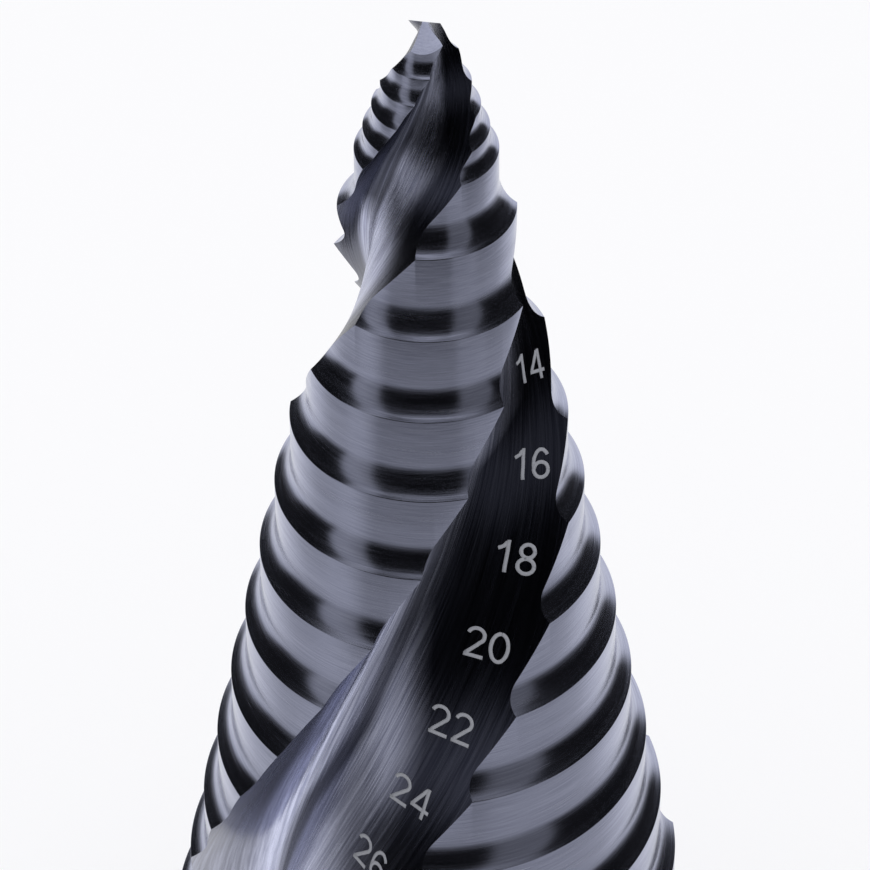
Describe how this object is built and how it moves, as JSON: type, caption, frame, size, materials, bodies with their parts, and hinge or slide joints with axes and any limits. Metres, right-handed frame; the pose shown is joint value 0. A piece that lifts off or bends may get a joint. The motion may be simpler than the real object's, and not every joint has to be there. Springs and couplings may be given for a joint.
{
  "type": "step drill",
  "caption": "Tall conical step drill in one piece of ground steel, with hollow shoulders between its steps, two right-hand helical flutes and a plain round shank.",
  "frame": {"origin": "centre of the flat end face of the shank, which the drill stands on", "axes": "+Z along the axis of rotation from the shank's end to the point; X and Y square to it, with the camera of the render on the -Y side"},
  "size_m": [0.0318, 0.032, 0.0974],
  "materials": {
    "ground_steel": "ground and polished high-speed steel, bluish grey, with fine turning lines on the steps and lengthwise brushing in the flutes"
  },
  "bodies": {
    "root": {"step_drill": "ground_steel"}
  },
  "joints": []
}
